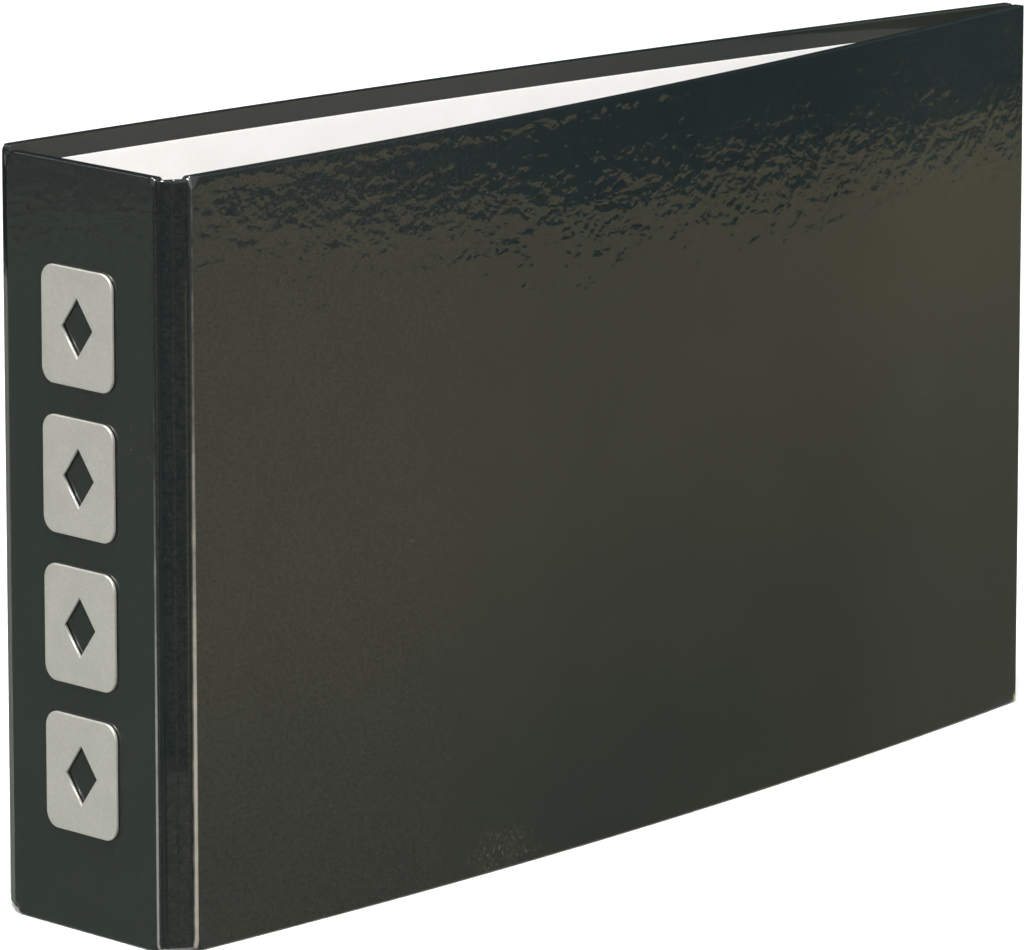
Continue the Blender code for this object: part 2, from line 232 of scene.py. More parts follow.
def round_plan_corner(points, length, height, at_end, at_top, radius):
    """Rounds one corner of the panel, seen square to its face."""
    result = points.copy()
    u = radius - gap_from(points[:, 0], length, at_end)
    v = radius - gap_from(points[:, 2], height, at_top)
    inside = (u > 0) & (v > 0)
    factor = np.maximum(u[inside], v[inside]) / np.hypot(u[inside], v[inside])
    new_u = radius - u[inside] * factor
    new_v = radius - v[inside] * factor
    result[inside, 0] = gap_from(new_u, length, at_end)
    result[inside, 2] = gap_from(new_v, height, at_top)
    return result


def gap_from(places, length, at_end):
    """Distance from the chosen end of a side."""
    return length - places if at_end else places


def smoothstep(low, high, value):
    """Rises from 0 at low to 1 at high. It falls where low is the larger of the two."""
    t = np.clip((value - low) / (high - low), 0, 1)
    return t * t * (3 - 2 * t)


def waves(u, v, seed, wavelength):
    """Smooth fixed undulation of unit size: a few crossed sine waves."""
    crossed = 7
    random = np.random.default_rng(seed)
    total = np.zeros_like(u)
    for _ in range(crossed):
        angle = random.uniform(0, math.pi)
        length = wavelength * random.uniform(0.7, 1.9)
        phase = random.uniform(0, 2 * math.pi)
        total += np.sin((u * math.cos(angle) + v * math.sin(angle)) * 2 * math.pi / length + phase)
    return total / crossed


def roll(points, origin, heading, length, bow, side):
    """Flat panel coordinates (along, depth, height) to the row frame."""
    along, depth, height = points.T
    if bow:
        radius = length / bow
        x = (radius - depth) * np.sin(along / radius)
        y = side * (radius - (radius - depth) * np.cos(along / radius))
    else:
        x = along
        y = side * depth
    turn_cos, turn_sin = math.cos(heading), math.sin(heading)
    return np.stack((origin[0] + turn_cos * x - turn_sin * y,
                     origin[1] + turn_sin * x + turn_cos * y, height), axis=1)


def make_piece(name, points, faces, material, body, attributes=(), flat=None, mirrored=False):
    """A mesh piece. flat keeps each point's place on the unrolled panel for the materials."""
    mesh = bpy.data.meshes.new(name)
    if mirrored:
        faces = [face[::-1] for face in faces]
    mesh.from_pydata([tuple(point) for point in points], [], faces)
    mesh.validate()
    mesh.materials.append(material)
    mesh.shade_smooth()
    if flat is not None:
        layer = mesh.attributes.new("flat", "FLOAT_VECTOR", "POINT")
        layer.data.foreach_set("vector", np.asarray(flat, np.float32).ravel())
    for label, values in attributes:
        layer = mesh.attributes.new(label, "FLOAT", "POINT")
        layer.data.foreach_set("value", np.asarray(values, np.float32))
    piece = bpy.data.objects.new(name, mesh)
    bpy.context.scene.collection.objects.link(piece)
    if body:
        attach(piece, body)
    return piece


def weight_normals(piece):
    modifier = piece.modifiers.new("weighted_normals", "WEIGHTED_NORMAL")
    modifier.weight = 90
    modifier.keep_sharp = True


# ---- node materials

class Shader:
    """A node material that is built up step by step."""

    def __init__(self, name):
        self.material = bpy.data.materials.new(name)
        self.material.use_nodes = True
        self.tree = self.material.node_tree
        self.surface = self.tree.nodes["Principled BSDF"]

    def put(self, socket, value):
        if isinstance(value, bpy.types.NodeSocket):
            self.tree.links.new(value, socket)
        else:
            socket.default_value = value

    def node(self, kind, settings=(), **inputs):
        made = self.tree.nodes.new(kind)
        for key, value in dict(settings).items():
            setattr(made, key, value)
        for key, value in inputs.items():
            self.put(made.inputs[key.replace("_", " ")], value)
        return made

    def attribute(self, name):
        made = self.tree.nodes.new("ShaderNodeAttribute")
        made.attribute_name = name
        return made

    def mark(self, name):
        return self.attribute(name).outputs["Fac"]

    def local(self):
        return self.node("ShaderNodeTexCoord").outputs["Object"]

    def stretch(self, vector, scale, offset=(0, 0, 0)):
        return self.node("ShaderNodeMapping", Vector=vector, Scale=scale, Location=offset).outputs["Vector"]

    def noise(self, vector, scale, detail=2.0, roughness=0.5, distortion=0.0):
        made = self.node("ShaderNodeTexNoise", Vector=vector, Scale=scale, Detail=detail,
                         Roughness=roughness, Distortion=distortion)
        return made.outputs["Fac"]

    def ramp(self, value, low, high, to_low=0.0, to_high=1.0, smooth=True):
        shape = "SMOOTHSTEP" if smooth else "LINEAR"
        made = self.node("ShaderNodeMapRange", {"interpolation_type": shape}, Value=value)
        made.inputs["From Min"].default_value = low
        made.inputs["From Max"].default_value = high
        made.inputs["To Min"].default_value = to_low
        made.inputs["To Max"].default_value = to_high
        return made.outputs["Result"]

    def math(self, operation, first, second=0.0):
        made = self.tree.nodes.new("ShaderNodeMath")
        made.operation = operation
        self.put(made.inputs[0], first)
        self.put(made.inputs[1], second)
        return made.outputs["Value"]

    def mix(self, factor, first, second):
        made = self.tree.nodes.new("ShaderNodeMix")
        made.data_type = "RGBA"
        self.put(made.inputs["Factor"], factor)
        for label, value in (("A", first), ("B", second)):
            socket = [item for item in made.inputs if item.name == label and item.type == "RGBA"][0]
            self.put(socket, value if isinstance(value, bpy.types.NodeSocket) else (*value, 1.0))
        return [item for item in made.outputs if item.type == "RGBA"][0]

    def bump(self, height, distance, strength=1.0, normal=None):
        made = self.node("ShaderNodeBump", Height=height, Distance=distance, Strength=strength)
        if normal is not None:
            self.put(made.inputs["Normal"], normal)
        return made.outputs["Normal"]

    def split(self, vector):
        made = self.node("ShaderNodeSeparateXYZ", Vector=vector)
        return made.outputs["X"], made.outputs["Y"], made.outputs["Z"]

    def finish(self, **inputs):
        for key, value in inputs.items():
            self.put(self.surface.inputs[key.replace("_", " ")], value)
        return self.material


# Tones of the laminate: board, speckle on it, inner margin with a painted lit side, and what shows where it
# is worn or dusty; the rub tones are partly a painted edge highlight
BOARD_DARK = (0.0086, 0.0134, 0.0144)
BOARD_LIGHT = (0.0109, 0.0157, 0.0158)
SPECKLE_PLAIN = (0.0118, 0.0180, 0.0186)
SPECKLE_NEAR = (0.0258, 0.0284, 0.0264)
SPECKLE_FORE = (0.0206, 0.0286, 0.0272)
# Inner margin tones: the warm one is painted light, on the margin's lit side near the hinge
MARGIN_COOL = (0.0125, 0.0180, 0.0170)
MARGIN_LIT = (0.0290, 0.0290, 0.0240)
MARGIN_CLOUD = (0.0200, 0.0215, 0.0190)
MARGIN_FORE = (0.0320, 0.0350, 0.0290)
DUST_TONE = (0.16, 0.14, 0.10)
SCUFF_TONE = (0.082, 0.078, 0.070)
BARE_BOARD = (0.42, 0.34, 0.16)
# Rubbed-edge tones: real wear and a painted highlight
RUB_AND_HIGHLIGHT_COVER = (0.26, 0.235, 0.195)
RUB_AND_HIGHLIGHT_SPINE = (0.175, 0.175, 0.162)

INNER_FACE = (0.0019, 0.0022)
HAZE_ROUGHNESS = 0.044
WORN_ROUGHNESS = 0.34
BROAD_PEEL = 0.00013
PEEL = 0.000068
FINE_PEEL = 0.000031
PEEL_STRETCH = (0.9, 1.0, 1.0)


def laminate_material(name, rub_and_highlight_colour, depth, peel_depth):
    """Glossy black laminated paper: orange-peel surface, faint cloudiness, dust, rubbed edges with a painted
    highlight.

    depth scales the tones (below 1, a darker copy of the laminate: painted shade), and peel_depth scales the
    height of the orange peel.
    """
    s = Shader(name)
    flat = s.attribute("flat").outputs["Vector"]
    inner = s.ramp(s.split(flat)[1], *INNER_FACE)
    outer = s.math("SUBTRACT", 1.0, inner)
    fore = s.mark("fore")

    # Board and speckle on the outer face, another tone on the turned-in margin, warmer and lighter near the
    # hinge as painted light
    cloud = s.noise(flat, 60.0, 3.0)
    grain = s.noise(s.stretch(flat, (1.0, 1.0, 1.3)), 1100.0, 5.0, 0.85)
    board_dark, board_light, speckle_plain, speckle_near = [
        tuple(depth * value for value in tone)
        for tone in (BOARD_DARK, BOARD_LIGHT, SPECKLE_PLAIN, SPECKLE_NEAR)]
    tone = s.mix(s.ramp(cloud, 0.35, 0.65), board_dark, board_light)
    speckle = s.mix(s.mark("near"), speckle_plain, speckle_near)
    speckle = s.mix(fore, speckle, SPECKLE_FORE)
    tone = s.mix(s.math("MULTIPLY", outer, s.ramp(grain, 0.30, 0.70, 0.0, 0.95)), tone, speckle)
    margin = s.mix(s.mark("lit_margin"), MARGIN_COOL, MARGIN_LIT)
    margin = s.mix(s.ramp(cloud, 0.4, 0.7, 0.0, 0.4), margin, MARGIN_CLOUD)
    margin = s.mix(fore, margin, MARGIN_FORE)
    tone = s.mix(inner, tone, margin)

    # Dust, the scuffed place, the bare corner and the rubbed edges with their painted highlight
    dust = s.ramp(s.noise(flat, 1300.0, 1.0), 0.765, 0.80)
    dust = s.math("MULTIPLY", dust, s.ramp(s.noise(flat, 45.0, 2.0), 0.48, 0.62))
    tone = s.mix(s.math("MULTIPLY", dust, 0.5), tone, DUST_TONE)
    streaks = s.noise(s.stretch(flat, (1.0, 1.0, 0.8)), 1150.0, 5.0, 0.8)
    scuff = s.math("MULTIPLY", s.mark("scuff"), s.ramp(streaks, 0.5, 0.66))
    tone = s.mix(s.math("MULTIPLY", scuff, 0.6), tone, SCUFF_TONE)
    corner_grain = s.ramp(s.noise(flat, 700.0, 2.0), 0.4, 0.55)
    corner = s.math("MULTIPLY", s.mark("corner"), corner_grain)
    tone = s.mix(corner, tone, BARE_BOARD)
    # Rubbed edges: wear, with a painted highlight in the same lighter tone
    wobble = s.noise(s.stretch(flat, (0.4, 0.4, 1.0)), 260.0, 3.0)
    wobble = s.ramp(wobble, 0.25, 0.75, -0.14, 0.14, smooth=False)
    rub_and_highlight = s.ramp(s.math("ADD", s.mark("rub_and_highlight"), wobble), 0.15, 1.0)
    rub_and_highlight = s.math("MULTIPLY", rub_and_highlight, s.ramp(s.noise(flat, 480.0, 3.0, 0.6), 0.2, 0.6, 0.82, 1.0))
    tone = s.mix(rub_and_highlight, tone, rub_and_highlight_colour)

    # Gloss, duller where worn and towards the fore edge
    rough = s.ramp(s.noise(flat, 150.0, 4.0, 0.6), 0.3, 0.7, 0.026, 0.038)
    rough = s.math("ADD", rough, s.math("MULTIPLY", s.mark("haze"), HAZE_ROUGHNESS))
    wear_and_highlight = s.math("ADD", rub_and_highlight, s.math("ADD", scuff, corner))
    rough = s.math("ADD", rough, s.math("MULTIPLY", wear_and_highlight, WORN_ROUGHNESS))

    # Orange peel in three sizes
    broad = s.noise(flat, 60.0, 1.0, 0.5)
    peel = s.noise(s.stretch(flat, PEEL_STRETCH), 300.0, 1.0, 0.5)
    fine = s.noise(s.stretch(flat, PEEL_STRETCH, (0.3, 0.0, 0.0)), 680.0, 1.0, 0.5)
    normal = s.bump(broad, BROAD_PEEL * peel_depth)
    normal = s.bump(peel, PEEL * peel_depth, outer, normal)
    normal = s.bump(fine, FINE_PEEL * peel_depth, outer, normal)
    return s.finish(Base_Color=tone, Roughness=rough, Normal=normal, Specular_IOR_Level=0.5)


def lining_material(name):
    """White uncoated paper: fibres, slight cockling and a soft tooth."""
    s = Shader(name)
    flat = s.attribute("flat").outputs["Vector"]
    fibre = s.noise(s.stretch(flat, (1.0, 1.0, 0.3)), 1400.0, 4.0, 0.6)
    cloud = s.noise(flat, 90.0, 3.0)
    tone = s.mix(s.ramp(cloud, 0.3, 0.7), (0.905, 0.889, 0.869), (0.928, 0.914, 0.898))
    tone = s.mix(s.ramp(fibre, 0.45, 0.75, 0.0, 0.14), tone, (0.84, 0.82, 0.79))
    normal = s.bump(cloud, 0.00008)
    normal = s.bump(fibre, 0.00001, 1.0, normal)
    return s.finish(Base_Color=tone, Roughness=s.ramp(fibre, 0.3, 0.7, 0.55, 0.72), Normal=normal,
                    Specular_IOR_Level=0.1)


def foil_material(name):
    """Silver hot-foil tile: fine grain, faint upright drag lines, cloudy sheen."""
    s = Shader(name)
    local = s.local()
    grain = s.noise(local, 2600.0, 3.0, 0.7)
    drag = s.noise(s.stretch(local, (1.0, 1.0, 0.08)), 1500.0, 3.0, 0.6)
    cloud = s.noise(local, 170.0, 3.0)
    tone = s.mix(s.ramp(grain, 0.3, 0.7), (0.373, 0.364, 0.329), (0.456, 0.446, 0.406))
    tone = s.mix(s.ramp(cloud, 0.35, 0.7, 0.0, 0.4), tone, (0.365, 0.356, 0.324))
    normal = s.bump(cloud, 0.00003)
    normal = s.bump(grain, 0.000003, 1.0, normal)
    normal = s.bump(drag, 0.000003, 1.0, normal)
    rough = s.ramp(drag, 0.3, 0.7, 0.34, 0.46)
    return s.finish(Base_Color=tone, Metallic=0.4, Roughness=rough, Normal=normal)


def metal_material(name, dark, bright, rough_low, rough_high, scale):
    """Plated steel: faint cloudy tarnish, hairline polishing marks."""
    s = Shader(name)
    local = s.local()
    cloud = s.noise(local, 160.0, 4.0, 0.6)
    hair = s.noise(s.stretch(local, (1.0, 1.0, 0.06)), scale, 3.0, 0.65)
    tone = s.mix(s.ramp(cloud, 0.3, 0.7), dark, bright)
    normal = s.bump(hair, 0.0000025)
    rough = s.ramp(cloud, 0.3, 0.7, rough_low, rough_high)
    rough = s.math("ADD", rough, s.ramp(hair, 0.5, 0.8, 0.0, 0.08))
    return s.finish(Base_Color=tone, Metallic=1.0, Roughness=rough, Normal=normal)


LAMINATE = laminate_material("black_laminate_cover", RUB_AND_HIGHLIGHT_COVER, 1.0, 1.0)
# Painted shade: the spine's copy has its tones darkened to 0.77
LAMINATE_SPINE_SHADED = laminate_material("black_laminate_spine_shaded", RUB_AND_HIGHLIGHT_SPINE, 0.77, 0.8)
# Painted shade: the hinge strips' copy has its tones darkened to 0.72, for the shade in the folds
LAMINATE_HINGE_SHADED = laminate_material("black_laminate_hinge_shaded", RUB_AND_HIGHLIGHT_SPINE, 0.72, 0.25)
LINING_PAPER = lining_material("white_lining_paper")
FOIL = foil_material("silver_foil_tile")
NICKEL = metal_material("nickel_plated_steel", (0.56, 0.55, 0.52), (0.72, 0.71, 0.68), 0.10, 0.19, 1800.0)
RIVET = metal_material("rivet_steel", (0.50, 0.49, 0.47), (0.66, 0.65, 0.62), 0.20, 0.32, 2400.0)


# ---- wrapped boards and their linings

# Distances from an edge at which the lattice of a board is divided
TELEGRAPH = tuple(TURN_IN + shift for shift in (-0.0005, -0.00025, 0.0, 0.00025, 0.0005))
EDGE = tuple(CASE_EDGE * value for value in ARC)
HINGE_EDGE = EDGE + (0.0003, 0.0004, 0.0005, 0.0006, 0.0007, 0.0008, 0.00095, 0.0012, 0.0016, 0.0022, 0.003)
FREE_EDGE = EDGE + (0.0004, 0.0007, 0.001, 0.0014, 0.0018, 0.0022, 0.0027, 0.0034, 0.0042, 0.005, 0.006,
                    0.007, 0.009) + TELEGRAPH

# What the laminate material reads at each point, from 0 to 1: rubbed edge with its painted highlight, scuffed
# place, bare corner, painted lit side of the inner margin, nearness to the fore edge and to the hinge (on the
# hinge strips, painted shade towards the spine crease), and duller gloss
MARKS = ("rub_and_highlight", "scuff", "corner", "lit_margin", "fore", "near", "haze")


def all_marks(count, given):
    """One value per point for every mark: those given, and zero for the rest."""
    return [(mark, given.get(mark, np.zeros(count))) for mark in MARKS]


def turn_in_depth(along, height, length, closed_end):
    """How far the inner face sinks where the turned-in margin of the wrap ends."""
    gap = np.minimum(height, HEIGHT - height)
    if closed_end:
        gap = np.minimum(gap, length - along)
    return TURN_IN_STEP * smoothstep(TURN_IN - TURN_IN_BLUR, TURN_IN + TURN_IN_BLUR, gap)


class Panel:
    """A board with its papers: where it starts, which way it runs, and how it bows."""

    def __init__(self, prefix, body, origin, heading, length, bow, side, closed_end, seed):
        self.prefix = prefix
        self.body = body
        self.origin = origin
        self.heading = heading
        self.length = length
        self.bow = bow
        self.side = side
        self.closed_end = closed_end
        self.seed = seed

    def place(self, points):
        return roll(points, self.origin, self.heading, self.length, self.bow, self.side)

    def warp(self, points):
        """Slight undulation of the board: both faces move together."""
        along, height = points[:, 0], points[:, 2]
        edge = np.minimum(np.minimum(along, self.length - along), np.minimum(height, HEIGHT - height))
        return BOARD_WAVE * waves(along, height, self.seed, 0.045) * smoothstep(0, 0.02, edge + 0.006)


def press_edges(points, length, ease, knuckles, ridge):
    """Eases the outer face's long edges and corners inwards, and raises the ridge below its top rim."""
    outer = 1 - points[:, 1] / CASE_DEPTH
    for at_end, width, drop in ease:
        lean = np.clip(1 - gap_from(points[:, 0], length, at_end) / width, 0, 1)
        points[:, 1] += drop * (1 - np.sqrt(1 - lean ** 2 * 0.98)) * outer
    for at_end, at_top, reach, drop in knuckles:
        from_side = np.clip(1 - gap_from(points[:, 0], length, at_end) / reach, 0, 1)
        from_rim = np.clip(1 - gap_from(points[:, 2], HEIGHT, at_top) / reach, 0, 1)
        points[:, 1] += drop * from_side * from_rim * outer
    rim_gap = HEIGHT - points[:, 2]
    rise = smoothstep(RIDGE_END, RIDGE_CREST, rim_gap) * smoothstep(RIDGE_START, RIDGE_CREST, rim_gap)
    points[:, 1] -= ridge * rise * outer * (1 - smoothstep(*RIDGE_RUN_OUT, points[:, 0]))


def edge_wear_and_highlight(lattice, length, wear_and_highlight):
    """Rubbed lines along the hinge edges: real wear together with a painted highlight that brightens
    downwards. top and bottom are their strengths there.
    """
    rub_and_highlight = np.zeros(len(lattice))
    rise = lattice[:, 2] / HEIGHT
    for at_end, shift, width, top, bottom, taper in wear_and_highlight:
        aside = gap_from(lattice[:, 0], length, at_end) - shift
        line = np.hypot(aside, np.maximum(lattice[:, 1] - shift * 0.2, 0) * 1.3)
        line /= 1 - taper * smoothstep(0.45, 1.0, rise)
        # Painted highlight: the line is strongest towards the bottom, where the edge mirrors the bright near
        # table
        strength = bottom + (top - bottom) * smoothstep(0.1, 0.95, rise)
        rub_and_highlight = np.maximum(rub_and_highlight, (1 - smoothstep(width * 0.35, width, line)) * strength)
    return rub_and_highlight


def make_case(panel, material, nodes, wear_and_highlight, ease, corners, knuckles, ridge=0.0):
    """The laminated board: rounded wrapped edges, and an inner face that sinks inside the turn-ins."""
    length = panel.length
    along = stations(length, HINGE_EDGE, FREE_EDGE if panel.closed_end else HINGE_EDGE, PANEL_STEP)
    height = stations(HEIGHT, FREE_EDGE, FREE_EDGE, PANEL_STEP)
    depth = stations(CASE_DEPTH, EDGE, EDGE, DEPTH_STEP)
    lattice, faces = lattice_box(along, depth, height)
    points = round_box(lattice, (length, CASE_DEPTH, HEIGHT), CASE_EDGE)
    press_edges(points, length, ease, knuckles, ridge)
    from_hinge = points[:, 0].copy()
    marks = {"rub_and_highlight": edge_wear_and_highlight(lattice, length, wear_and_highlight),
             # painted light: the lit side of the inner margin, near the hinge
             "lit_margin": 1 - smoothstep(*LIT_MARGIN_FADE, from_hinge),
             "fore": smoothstep(*FORE_RISE, from_hinge),
             "near": 1 - smoothstep(*NEAR_FADE, from_hinge),
             "haze": smoothstep(*HAZE_RISE, from_hinge)}
    if panel.prefix == "front_cover":
        aside = (lattice[:, 0] - SCUFF_PLACE[0]) / SCUFF_SIZE[0]
        above = (lattice[:, 2] - SCUFF_PLACE[1]) / SCUFF_SIZE[1]
        marks["scuff"] = 1 - smoothstep(0.5, 1.0, np.hypot(aside, above))
        marks["corner"] = 1 - smoothstep(*WORN_CORNER, np.hypot(lattice[:, 0] - length, lattice[:, 2]))
    for at_end, at_top, radius in corners:
        points = round_plan_corner(points, length, HEIGHT, at_end, at_top, radius)
    inner = smoothstep(0.6, 1.0, points[:, 1] / CASE_DEPTH)
    sink = turn_in_depth(points[:, 0], points[:, 2], length, panel.closed_end)
    points[:, 1] += panel.warp(points) - sink * inner
    flat = lattice + np.array((panel.seed * 0.31, 0.0, panel.seed * 0.17))
    case = make_piece(panel.prefix + "_case", panel.place(points), faces, material, panel.body,
                      all_marks(len(lattice), marks), flat, panel.side == RIGHT)
    weight_normals(case)
    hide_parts(*nodes)


def make_lining(panel, node):
    """White lining glued over the turned-in margins, whose edges show through it."""
    length = panel.length
    end = LINING_MARGIN if panel.closed_end else -LINING_OVERLAP
    run = length - end + LINING_OVERLAP
    tall = HEIGHT - 2 * LINING_MARGIN
    low = (0.0, 0.0002, 0.0006)
    step = tuple(value - LINING_MARGIN for value in TELEGRAPH)
    along = stations(run, low, low + (step if panel.closed_end else ()), PANEL_STEP)
    height = stations(tall, low + step, low + step, PANEL_STEP)
    lattice, faces = lattice_box(along, [0.0, LINING * 0.5, LINING], height)
    points = round_box(lattice, (run, LINING, tall), LINING * 0.3)
    points[:, 0] -= LINING_OVERLAP
    points[:, 2] += LINING_MARGIN
    sink = turn_in_depth(points[:, 0], points[:, 2], length, panel.closed_end)
    cockle = LINING_COCKLE * (1 + waves(points[:, 0], points[:, 2], panel.seed + 50, 0.03))
    points[:, 1] += CASE_DEPTH + LINING_LIFT + cockle - sink + panel.warp(points)
    flat = lattice + np.array((panel.seed * 0.23, 0.0, panel.seed * 0.41))
    lining = make_piece(panel.prefix + "_lining_sheet", panel.place(points), faces, LINING_PAPER,
                        panel.body, (), flat, panel.side == RIGHT)
    weight_normals(lining)
    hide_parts(node)


def unit(heading):
    return Vector((math.cos(heading), math.sin(heading), 0))


def face_origin(joint, heading, side):
    """Start of a cover's outer face, from its fold's axis."""
    leftward = unit(heading + math.pi / 2)
    return joint_place(joint) + unit(heading) * FOLD_GAP - leftward * side * FOLD_DEPTH


spine_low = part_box("spine_paper")[0]
spine = Panel("spine", "spine", Vector(spine_low), math.radians(90), SPINE_WIDTH, 0.0, RIGHT, False, 1)
front = Panel("front_cover", "front_cover", face_origin("front_cover_fold", FRONT_HEADING, LEFT),
              FRONT_HEADING, COVER_LENGTH, FRONT_BOW, LEFT, True, 2)
back = Panel("back_cover", "back_cover", face_origin("back_cover_fold", BACK_HEADING, RIGHT),
             BACK_HEADING, COVER_LENGTH, BACK_BOW, RIGHT, True, 3)

# rubbed lines with their painted highlight: (at the far end, shift, width, top, bottom, taper). ease: (at the
# far end, width, drop).
# corners: (at the far end, at the top, radius). knuckles: (at the far end, at the top, reach, drop).
COVER_EASE = ((False, 0.0008, 0.0004),)
COVER_CORNERS = ((False, False, 0.0012), (False, True, 0.0008), (True, False, 0.0003), (True, True, 0.0002))
LOWER_KNUCKLE = (False, False, 0.0016, 0.0008)

make_case(spine, LAMINATE_SPINE_SHADED, ("spine_paper", "spine_board"),
          wear_and_highlight=((False, 0.0004, 0.00036, 0.0, 1.0, 0.0), (True, 0.0003, 0.00034, 0.0, 0.6, 0.0)),
          ease=((False, 0.0008, 0.0004), (True, 0.0010, 0.0005)),
          corners=((False, False, 0.0012), (False, True, 0.0007), (True, False, 0.0022),
                   (True, True, 0.0016)),
          knuckles=((False, True, 0.0012, 0.0005), (False, False, 0.0014, 0.0007),
                    (True, True, 0.002, 0.0008), (True, False, 0.002, 0.0008)))
make_case(front, LAMINATE, ("front_cover_paper", "front_cover_board"),
          wear_and_highlight=((False, 0.00035, 0.00050, 0.32, 1.0, 0.5),), ease=COVER_EASE, corners=COVER_CORNERS,
          knuckles=((False, True, 0.0020, 0.0009), LOWER_KNUCKLE), ridge=FRONT_RIDGE)
make_case(back, LAMINATE, ("back_cover_paper", "back_cover_board"),
          wear_and_highlight=((False, 0.00035, 0.0007, 0.2, 0.8, 0.4),), ease=COVER_EASE, corners=COVER_CORNERS,
          knuckles=((False, True, 0.0012, 0.0005), LOWER_KNUCKLE))
make_lining(spine, "spine_lining")
make_lining(front, "front_cover_lining")
make_lining(back, "back_cover_lining")


# ---- hinge skins, shaped around the folds

def fold_path(fold, heading_in, heading_out, run_in, run_out, fillet):
    """Centre line through a fold: straight, a rounded turn, straight."""
    start = fold - unit(heading_in) * run_in
    turn_start = fold - unit(heading_in) * fillet
    turn_end = fold + unit(heading_out) * fillet
    end = fold + unit(heading_out) * run_out
    points = [start.lerp(turn_start, step / 4) for step in range(4)]
    for step in range(13):
        t = step / 12
        points.append(turn_start * (1 - t) ** 2 + fold * 2 * t * (1 - t) + turn_end * t ** 2)
    points += [turn_end.lerp(end, step / 8) for step in range(1, 9)]
    return points


class HingeLayer:
    """One sheet of a hinge: its two depths, its gap to the rims, and how far its rims are rounded."""

    def __init__(self, word, node_word, outer, inner, margin, rounding, material, slot, seed):
        self.word = word
        self.node_word = node_word
        self.outer = outer
        self.inner = inner
        self.margin = margin
        self.rounding = rounding
        self.material = material
        self.slot = slot
        self.seed = seed


HINGE_LAYERS = (
    HingeLayer("skin", "paper", SKIN_OUTER, SKIN_INNER, SKIN_MARGIN, SKIN_ROUND, LAMINATE_HINGE_SHADED,
               "black_laminate", 0),
    HingeLayer("lining", "lining", HINGE_LINING_OUTER, HINGE_LINING_INNER, LINING_MARGIN,
               HINGE_LINING_ROUND, LINING_PAPER, "white_lining", 10),
)
RIM_ARC = (0.0, 0.02, 0.07, 0.15, 0.27, 0.42, 0.6, 0.8, 1.0, 1.3)


def make_skin(prefix, word, layer, path, side, hinge_seed, seam_at_end):
    """A paper strip that follows a fold's centre line, with its rounded turn."""
    seed = hinge_seed + layer.seed
    thickness = layer.inner - layer.outer
    tall = HEIGHT - 2 * layer.margin
    line = np.array([tuple(point) for point in path])
    steps = np.linalg.norm(np.diff(line, axis=0), axis=1)
    lengths = np.concatenate(([0.0], np.cumsum(steps)))
    rim_places = tuple(layer.rounding * value for value in RIM_ARC)
    height = stations(tall, rim_places, rim_places, HINGE_STEP)
    lattice, faces = lattice_box(list(lengths), [0.0, 0.5, 1.0], height)
    outside = 1 - lattice[:, 1]
    top_gap = tall - lattice[:, 2]
    tangent = np.gradient(line, axis=0)
    tangent /= np.linalg.norm(tangent, axis=1)[:, None]
    inward = np.stack((-tangent[:, 1], tangent[:, 0], np.zeros(len(line))), axis=1) * side
    station = np.searchsorted(lengths, lattice[:, 0] - 1e-9)
    depth = layer.outer + thickness * lattice[:, 1]
    from_seam = lattice[:, 0] - (lengths[-1] if seam_at_end else 0.0)
    ripple = HINGE_WAVE * waves(from_seam, lattice[:, 2], seed, 0.018)
    lean = np.clip(1 - np.minimum(lattice[:, 2], top_gap) / layer.rounding, 0, 1)
    thin = thickness * 0.8 * (1 - np.sqrt(1 - 0.98 * lean ** 2)) * outside
    bent = depth + ripple + thin
    if seam_at_end and layer.word == "skin":
        # The crumpled end of the strip, at the top rim
        aside = (np.abs(from_seam) - NUB_FROM_SEAM) / NUB_SIZE
        bent -= NUB_RISE * np.exp(-aside ** 2 - (top_gap / NUB_SIZE) ** 2) * outside
    points = line[station] + inward[station] * bent[:, None]
    points[:, 2] = layer.margin + lattice[:, 2]
    flat = np.stack((from_seam + seed * 0.07, depth, lattice[:, 2] + seed * 0.05), axis=1)
    # Painted shade: darker away from the seam, towards the spine crease
    near = CREASE_SHADE_TONE + (1 - CREASE_SHADE_TONE) * smoothstep(*SEAM_RISE, from_seam)
    skin = make_piece(f"{prefix}_hinge_{layer.word}_{word}", points, faces, layer.material, None,
                      all_marks(len(lattice), {"near": near}), flat, side == RIGHT)
    for polygon in skin.data.polygons:
        ends = [lattice[index, 0] for index in polygon.vertices]
        if max(ends) < 1e-9 or min(ends) > lengths[-1] - 1e-9:
            polygon.use_smooth = False
    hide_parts(f"{prefix}_hinge_{layer.node_word}")
    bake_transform(skin)


def make_hinge(prefix, cover, first_fold, second_fold, heading_in, strip_heading, heading_out, side, seed):
    """Skin and lining over both folds of a hinge. They meet at a seam in the middle of its strip."""
    first, second = joint_place(first_fold), joint_place(second_fold)
    first.z = second.z = 0.0
    middle = (second - first).length / 2
    hinge = prefix + "_hinge"
    halves = (("spine_side", ("spine", hinge), first, heading_in, strip_heading, SKIN_TUCK, middle),
              ("cover_side", (hinge, cover), second, strip_heading, heading_out, middle, SKIN_TUCK))
    for word, bodies, fold, before, after, run_in, run_out in halves:
        path = fold_path(fold, before, after, run_in, run_out, SKIN_FILLET)
        for layer in HINGE_LAYERS:
            make_skin(prefix, word, layer, path, side, seed, word == "spine_side")


make_hinge("front", "front_cover", "front_spine_fold", "front_cover_fold", math.radians(-90),
           FRONT_STRIP_HEADING, FRONT_HEADING, LEFT, 21)
make_hinge("back", "back_cover", "back_spine_fold", "back_cover_fold", math.radians(90),
           BACK_STRIP_HEADING, BACK_HEADING, RIGHT, 41)


# ---- raised foil tiles

